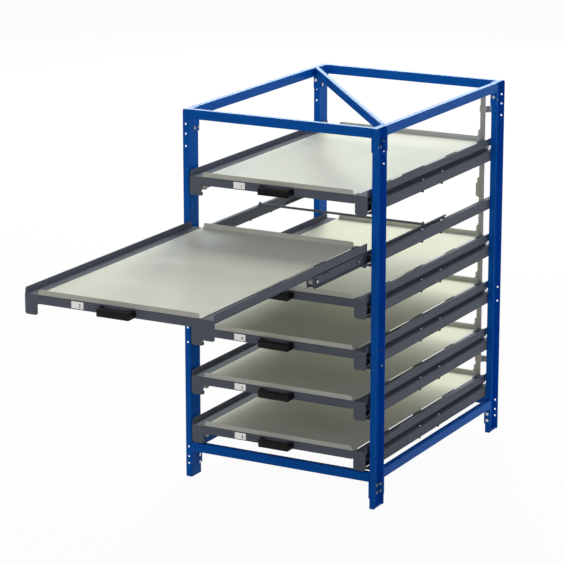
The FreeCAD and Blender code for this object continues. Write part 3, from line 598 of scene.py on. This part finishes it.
class RACK_OT_labels(bpy.types.Operator):
    """Add a card label with a plain number to each drawer's front bar"""

    bl_idname = "rack.labels"
    bl_label = "Add labels"

    def execute(self, context):
        details = context.scene.rack_details
        paper = label_paper(context.scene.rack_finishes)
        ink = label_print(context.scene.rack_finishes)
        size = Matrix.Diagonal((details.label_width, details.label_thickness, details.label_height, 1))
        for number in DRAWER_NUMBERS:
            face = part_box(f"cross_bars_{number}")[0].y
            top = level_of(number) - details.label_drop
            front = face - details.label_thickness / 2
            middle = Vector((-details.label_offset, front, top - details.label_height / 2))
            card = bmesh.new()
            bmesh.ops.create_cube(card, size=1, matrix=Matrix.Translation(middle) @ size)
            round_edges(card, card.edges[:], LABEL_ROUNDING, LABEL_EDGE_STEPS)
            new_piece(f"label_{number}", card, paper, f"drawer_{number}")
            self.print_number(context, number, middle, ink, details)
        return {"FINISHED"}

    def print_number(self, context, number, middle, ink, details):
        """The number stands right of the card's middle and a little below it."""
        drawn = self.drawn_number(context, number, details)
        shape = bmesh.new()
        shape.from_mesh(drawn)
        bpy.data.meshes.remove(drawn)
        bmesh.ops.remove_doubles(shape, verts=shape.verts, dist=NUMBER_WELD)
        beside = details.label_width * NUMBER_BESIDE
        below = details.label_height * NUMBER_BELOW
        spot = middle + Vector((beside, -details.label_thickness / 2, -below))
        upright = Matrix.Rotation(QUARTER_TURN, 4, "X")
        bmesh.ops.transform(shape, matrix=Matrix.Translation(spot) @ upright, verts=shape.verts)
        new_piece(f"label_number_{number}", shape, ink, f"drawer_{number}")

    def drawn_number(self, context, number, details):
        """A number in the plain font, flat and round the origin, as a mesh."""
        curve = bpy.data.curves.new("number", "FONT")
        curve.body = str(number)
        curve.size = details.number_size
        curve.extrude = NUMBER_HALF_DEPTH
        curve.offset = NUMBER_BOLDNESS
        curve.align_x = "CENTER"
        curve.align_y = "CENTER"
        text = bpy.data.objects.new("number", curve)
        context.scene.collection.objects.link(text)
        context.view_layer.update()
        drawn = bpy.data.meshes.new_from_object(text)
        bpy.data.objects.remove(text)
        return drawn


class RACK_OT_stop_bolts(bpy.types.Operator):
    """Add the stop bolts below the fixed slide rails, and their nuts on top"""

    bl_idname = "rack.stop_bolts"
    bl_label = "Add stop bolts"

    def execute(self, context):
        details = context.scene.rack_details
        finishes = context.scene.rack_finishes
        zinc = finish(ZINC, zinc_plate, finishes)
        plastic = finish(BLACK_NYLON, moulded_plastic, finishes)
        across = details.stop_across
        nuts = bmesh.new()
        heads = bmesh.new()
        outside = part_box("slide_rails_right")[1].x
        for number in DRAWER_NUMBERS:
            level = level_of(number)
            for side in LEFT_AND_RIGHT:
                for along in STOP_PLACES:
                    spot = Vector((side * (outside - STOP_FROM_OUTSIDE), along, level))
                    add_hex_head(nuts, spot + DOWN * RAIL_TOP_DROP, UP, across, details.stop_nut_height)
                    add_hex_head(heads, spot + DOWN * RAIL_BOTTOM_DROP, DOWN, across, details.stop_height)
        new_piece("rail_stop_nuts", nuts, zinc, "frame")
        new_piece("rail_stop_heads", heads, plastic, "frame")
        return {"FINISHED"}


class RACK_OT_rivets(bpy.types.Operator):
    """Add the rivets that hold the slide rails to the posts"""

    bl_idname = "rack.rivets"
    bl_label = "Add rivets"

    def execute(self, context):
        details = context.scene.rack_details
        paint = finish(BLUE_COAT, blue_gloss_powder_coat, context.scene.rack_finishes)
        shape = bmesh.new()
        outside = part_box("slide_rails_right")[1].x + POST_SHEET
        post_low, post_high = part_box("post_back_right")
        post_middle = (post_low.y + post_high.y) / 2
        ahead = details.rivet_spread / 2
        places = [end * (post_middle + step) for end in FRONT_AND_BACK for step in (-ahead, ahead)]
        for number in DRAWER_NUMBERS:
            height = level_of(number) - details.rivet_drop
            for side in LEFT_AND_RIGHT:
                outwards = Vector((side, 0, 0))
                for along in places:
                    seat = Vector((side * outside, along, height))
                    add_round_head(shape, seat, outwards, details.rivet_diameter, details.rivet_height)
        new_piece("slide_rail_rivets", shape, paint, "frame", smooth=True)
        return {"FINISHED"}


class RACK_OT_axle_caps(bpy.types.Operator):
    """Add the bright riveted ends of the roller axles on the middle rails"""

    bl_idname = "rack.axle_caps"
    bl_label = "Add axle caps"

    def execute(self, context):
        details = context.scene.rack_details
        diameter, thickness = details.axle_cap_diameter, details.axle_cap_height
        zinc = finish(ZINC, zinc_plate, context.scene.rack_finishes)
        for number in DRAWER_NUMBERS:
            shape = bmesh.new()
            low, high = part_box(f"middle_rails_{number}")
            face = high.x - AXLE_HEAD_FROM_OUTSIDE
            height = level_of(number) - AXLE_DROP
            for side in LEFT_AND_RIGHT:
                outwards = Vector((side, 0, 0))
                for reach in AXLE_PLACES:
                    seat = Vector((side * face, low.y + reach, height))
                    add_round_head(shape, seat, outwards, diameter, thickness)
            new_piece(f"axle_caps_{number}", shape, zinc, f"middle_{number}", smooth=True)
        return {"FINISHED"}


class RACK_OT_stage(bpy.types.Operator):
    """Set up the floor, the white surround, the lights and the camera"""

    bl_idname = "rack.stage"
    bl_label = "Set the stage"

    def execute(self, context):
        settings = context.scene.rack_stage
        context.scene.view_settings.view_transform = "Standard"
        self.floor(settings)
        self.dark_card()
        self.surround(context, settings)
        self.lamps(context, settings)
        self.camera(context, settings)
        return {"FINISHED"}

    def shown_rays(self, tree):
        """One for the rays that show the surround: straight to the camera, in gloss and through glass."""
        rays = add_node(tree, "ShaderNodeLightPath").outputs
        shown = add_node(tree, "ShaderNodeMath", {
            0: rays["Is Camera Ray"], 1: rays["Is Glossy Ray"]}, operation="ADD")
        shown = add_node(tree, "ShaderNodeMath", {
            0: shown.outputs[0], 1: rays["Is Transmission Ray"]}, operation="ADD", use_clamp=True)
        return shown.outputs[0]

    def stage_plane(self, name, size, matrix, material):
        """A flat rectangle for the stage, stretched from a square of one metre."""
        shape = bmesh.new()
        stretch = Matrix.Diagonal((size[0], size[1], 1, 1))
        bmesh.ops.create_grid(shape, x_segments=1, y_segments=1, size=0.5, matrix=matrix @ stretch)
        plane = new_object(name, shape, material)
        return plane

    def floor(self, settings):
        """A pale matt floor that shows as white paper with a faint shadow."""
        material, tree, shader = new_material("pale_studio_floor")
        set_inputs(tree, shader, {
            "Base Color": shade(linear(FLOOR_COLOUR), 1),
            "Roughness": FLOOR_ROUGHNESS,
            "Specular IOR Level": 0.0,
        })
        paper = add_node(tree, "ShaderNodeEmission", {"Color": WHITE, "Strength": 1.0})
        share = add_node(tree, "ShaderNodeMath", {
            0: self.shown_rays(tree), 1: PAPER_SHARE}, operation="MULTIPLY")
        mixed = add_node(tree, "ShaderNodeMixShader", {
            0: share.outputs[0], 1: shader.outputs[0], 2: paper.outputs[0]})
        set_inputs(tree, tree.nodes["Material Output"], {"Surface": mixed.outputs[0]})
        size = (settings.floor_size, settings.floor_size)
        self.stage_plane("studio_floor", size, Matrix.Identity(4), material)

    def dark_card(self):
        """A black card behind the rack that shows only in gloss, and darkens the side of the top brace."""
        material, tree, shader = new_material("black_studio_card")
        set_inputs(tree, shader, {"Base Color": shade(linear(DARK_CARD_COLOUR), 1), "Roughness": 1.0})
        place = standing(DARK_CARD_PLACE, DARK_CARD_FACING)
        card = self.stage_plane("dark_card", DARK_CARD_SIZE, place, material)
        card.visible_camera = False
        card.visible_diffuse = False
        card.visible_transmission = False
        card.visible_shadow = False

    def surround(self, context, settings):
        """White to the camera and in reflections, and a softer fill on matt surfaces."""
        world = bpy.data.worlds.new("white_surround")
        world.use_nodes = True
        context.scene.world = world
        tree = world.node_tree
        shown = self.shown_rays(tree)
        way = add_node(tree, "ShaderNodeTexCoord").outputs["Generated"]
        height = add_node(tree, "ShaderNodeSeparateXYZ", {"Vector": way}).outputs["Z"]
        fill = stretched(tree, height, settings.sky_fill, settings.top_fill)
        tint = add_node(tree, "ShaderNodeValToRGB", {"Fac": shown})
        tint.color_ramp.elements[0].color = shade(linear(FILL_COLOUR), 1)
        tint.color_ramp.elements[1].color = WHITE
        set_inputs(tree, tree.nodes["Background"], {
            "Color": tint.outputs["Color"],
            "Strength": stretched(tree, shown, fill, 1.0),
        })

    def lamps(self, context, settings):
        """A broad soft key from behind, and a wide panel that only shows in gloss seen at a low angle."""
        key = self.panel_lamp(context, "soft_key", KEY_PLACE, KEY_AIM, KEY_SIZE)
        key.data.energy = settings.key_power
        key.data.color = linear(KEY_COLOUR)
        key.visible_glossy = False
        sheen = self.panel_lamp(context, "sheen_panel", PANEL_PLACE, PANEL_AIM, PANEL_SIZE)
        sheen.data.energy = settings.sheen_power
        sheen.data.color = linear(PANEL_COLOUR)
        sheen.visible_diffuse = False

    def panel_lamp(self, context, name, place, aim, size):
        """A rectangular light that faces a point and doesn't show itself to the camera."""
        light = bpy.data.lights.new(name, "AREA")
        light.shape = "RECTANGLE"
        light.size, light.size_y = size
        lamp = bpy.data.objects.new(name, light)
        lamp.matrix_world = standing(place, place - aim)
        lamp.visible_camera = False
        context.scene.collection.objects.link(lamp)
        return lamp

    def camera(self, context, settings):
        """The view from the front right, a little above the rack."""
        lens = bpy.data.cameras.new("camera")
        lens.sensor_width = SENSOR_WIDTH
        lens.lens = settings.lens
        lens.shift_x, lens.shift_y = LENS_SHIFT
        lens.clip_end = VIEW_REACH
        camera = bpy.data.objects.new("camera", lens)
        turn = Matrix.Rotation(settings.camera_azimuth, 4, "Z")
        tilt = Matrix.Rotation(QUARTER_TURN - settings.camera_elevation, 4, "X")
        camera.matrix_world = Matrix.Translation(settings.camera_place) @ turn @ tilt
        context.scene.collection.objects.link(camera)
        context.scene.camera = camera


class RACK_PT_sidebar(bpy.types.Panel):
    """Lists the steps that finish the rack"""

    bl_label = "Roll-out rack"
    bl_idname = "RACK_PT_sidebar"
    bl_space_type = "VIEW_3D"
    bl_region_type = "UI"
    bl_category = "Rack"

    def draw(self, context):
        for step in STEPS:
            self.layout.operator(step.bl_idname)


STEPS = (
    RACK_OT_finish_frame,
    RACK_OT_finish_drawers,
    RACK_OT_handles,
    RACK_OT_labels,
    RACK_OT_stop_bolts,
    RACK_OT_rivets,
    RACK_OT_axle_caps,
    RACK_OT_stage,
)
SETTINGS = {"rack_finishes": RackFinishes, "rack_details": RackDetails, "rack_stage": RackStage}


def register():
    """Add the settings, the steps and the sidebar panel."""
    for settings in SETTINGS.values():
        bpy.utils.register_class(settings)
    for name, settings in SETTINGS.items():
        setattr(bpy.types.Scene, name, PointerProperty(type=settings))
    for step in STEPS:
        bpy.utils.register_class(step)
    bpy.utils.register_class(RACK_PT_sidebar)


def unregister():
    """Take away what register added, in the opposite order."""
    bpy.utils.unregister_class(RACK_PT_sidebar)
    for step in reversed(STEPS):
        bpy.utils.unregister_class(step)
    for name in SETTINGS:
        delattr(bpy.types.Scene, name)
    for settings in reversed(SETTINGS.values()):
        bpy.utils.unregister_class(settings)


def main():
    """Finish the rack step by step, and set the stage."""
    register()
    bpy.ops.rack.finish_frame()
    bpy.ops.rack.finish_drawers()
    bpy.ops.rack.handles()
    bpy.ops.rack.labels()
    bpy.ops.rack.stop_bolts()
    bpy.ops.rack.rivets()
    bpy.ops.rack.axle_caps()
    bpy.ops.rack.stage()


if __name__ == "__main__":
    main()
